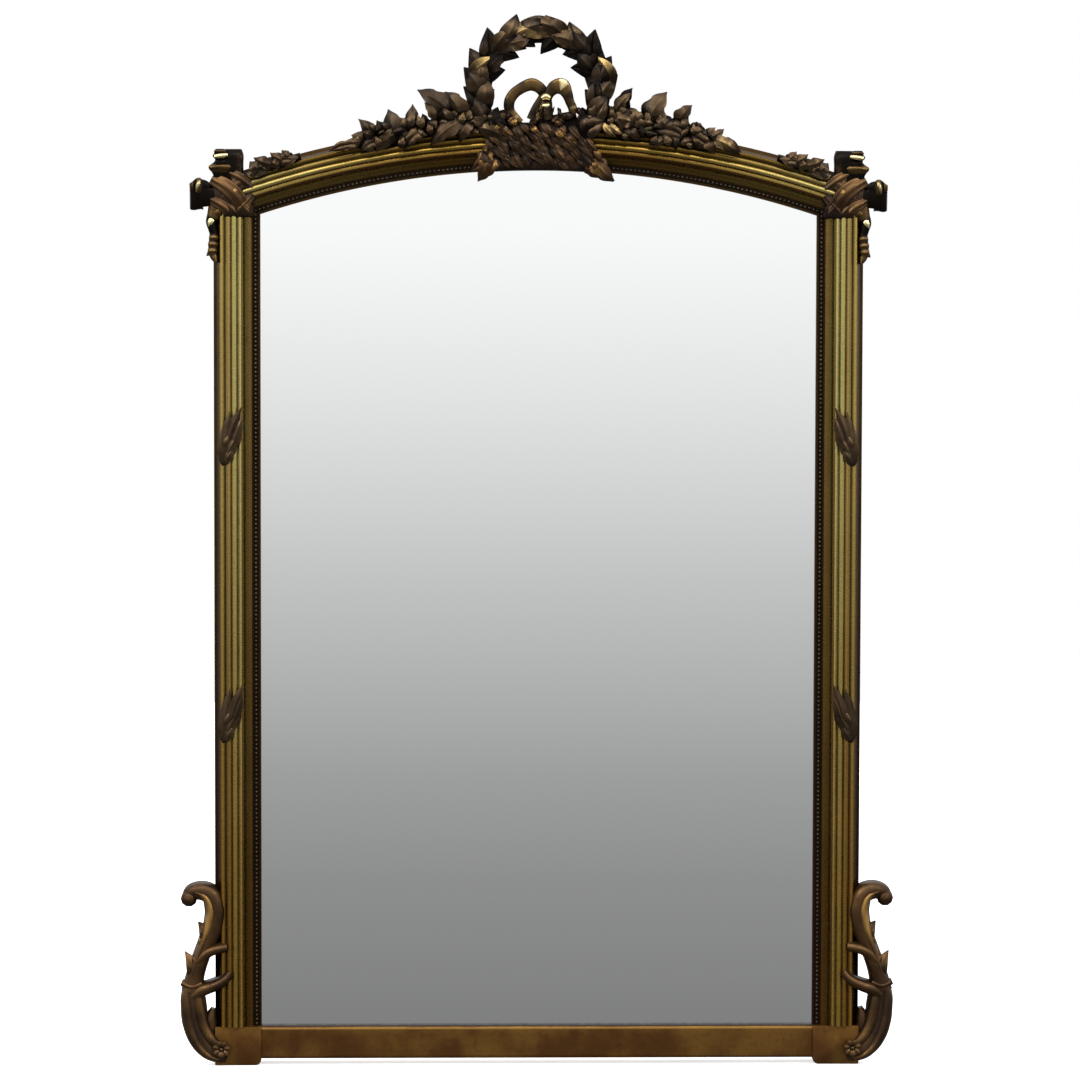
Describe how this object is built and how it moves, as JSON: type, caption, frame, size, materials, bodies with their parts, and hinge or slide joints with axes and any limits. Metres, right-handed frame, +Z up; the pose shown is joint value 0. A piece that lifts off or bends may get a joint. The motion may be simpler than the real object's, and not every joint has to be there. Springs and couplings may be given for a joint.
{
  "type": "trumeau mirror",
  "caption": "Tall arched overmantel mirror in a reeded gilt frame with laurel wreath crest, bow, leaf sprays, ribbon knots and scroll feet, hung by rings at the back.",
  "frame": {"origin": "middle of the width, on the line where the plane of the wall meets the shelf that the corner blocks stand on", "axes": "+X to the right seen from the front, +Y into the wall, +Z up; the glass faces -Y"},
  "size_m": [1.194, 0.086, 1.7462],
  "materials": {
    "pine": "planed softwood, darkened with age",
    "pine_boards": "rough-sawn softwood boards",
    "gilt_moulding": "water gilding over red bole, rubbed",
    "gilt_beads": "bronzed gilding, dark in the channel",
    "gilt_foot": "worn gilding over brown bole",
    "gilt_carving": "bronzed gilding with bright rubbed edges",
    "plate_glass": "polished plate",
    "silvering": "silvered back of the plate",
    "screw_iron": "slotted iron screws",
    "wrought_iron": "blackened wrought iron"
  },
  "bodies": {
    "frame": {"arch_sprig_left": "gilt_carving", "arch_sprig_right": "gilt_carving", "backboard_1": "pine_boards", "backboard_2": "pine_boards", "backboard_3": "pine_boards", "backboard_4": "pine_boards", "backboard_5": "pine_boards", "backboard_screws": "screw_iron", "base_block_left": "gilt_foot", "base_block_right": "gilt_foot", "base_rail": "gilt_foot", "bead_strip_arch": "gilt_beads", "bead_strip_left": "gilt_beads", "bead_strip_right": "gilt_beads", "binding_lower_left": "gilt_carving", "binding_lower_right": "gilt_carving", "binding_upper_left": "gilt_carving", "binding_upper_right": "gilt_carving", "carcass_head": "pine", "carcass_rail": "pine", "carcass_stile_left": "pine", "carcass_stile_right": "pine", "centre_cluster": "gilt_carving", "corner_knot_left": "gilt_carving", "corner_knot_right": "gilt_carving", "corner_ribbon_left": "gilt_carving", "corner_ribbon_right": "gilt_carving", "drop_leaves_left": "gilt_carving", "drop_leaves_right": "gilt_carving", "glazing_blocks_foot": "pine", "glazing_blocks_head": "pine", "glazing_blocks_left": "pine", "glazing_blocks_right": "pine", "hanger_screws_left": "wrought_iron", "hanger_screws_right": "wrought_iron", "hanger_strap_left": "wrought_iron", "hanger_strap_right": "wrought_iron", "laurel_wreath": "gilt_carving", "mirror_glass": "plate_glass", "moulding_arch": "gilt_moulding", "moulding_left": "gilt_moulding", "moulding_right": "gilt_moulding", "ribbon_bow": "gilt_carving", "scroll_bracket_left": "gilt_carving", "scroll_bracket_right": "gilt_carving", "silvering": "silvering", "spray_left": "gilt_carving", "spray_right": "gilt_carving", "wreath_backing": "pine"},
    "ring_left": {"hanger_ring_left": "wrought_iron"},
    "ring_right": {"hanger_ring_right": "wrought_iron"}
  },
  "joints": [
    {"name": "ring_left_swing", "type": "hinge", "parent": "frame", "child": "ring_left", "pos_m": [-0.518, -0.0042, 1.29], "axis": [1, 0, 0], "range_deg": [0, 170]},
    {"name": "ring_right_swing", "type": "hinge", "parent": "frame", "child": "ring_right", "pos_m": [0.518, -0.0042, 1.29], "axis": [1, 0, 0], "range_deg": [0, 170]}
  ]
}
